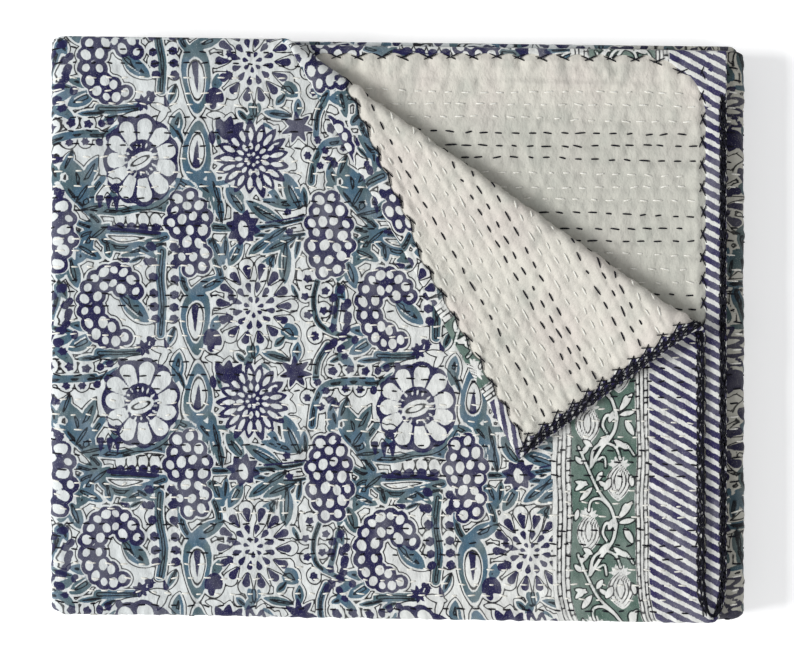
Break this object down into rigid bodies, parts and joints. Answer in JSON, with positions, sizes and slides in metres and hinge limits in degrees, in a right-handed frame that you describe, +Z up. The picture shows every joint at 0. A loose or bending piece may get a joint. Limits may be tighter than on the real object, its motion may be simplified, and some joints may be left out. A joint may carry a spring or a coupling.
{
  "type": "quilted bed runner",
  "caption": "Hand-quilted cotton bed runner, printed with flowers and a striped end border, folded into a flat pack with one corner turned back.",
  "frame": {"origin": "centre of the bounding box in plan, at the height of the surface that the pack lies on", "axes": "+X along the runner's length, towards its folded end under the turned corner, +Y to its open long edges, +Z up"},
  "size_m": [0.4532, 0.382, 0.0591],
  "materials": {
    "printed_cotton": "matt block-printed cotton",
    "plain_cotton": "matt plain cotton"
  },
  "bodies": {
    "root": {"printed_face": "printed_cotton", "plain_backing": "plain_cotton"}
  },
  "joints": []
}
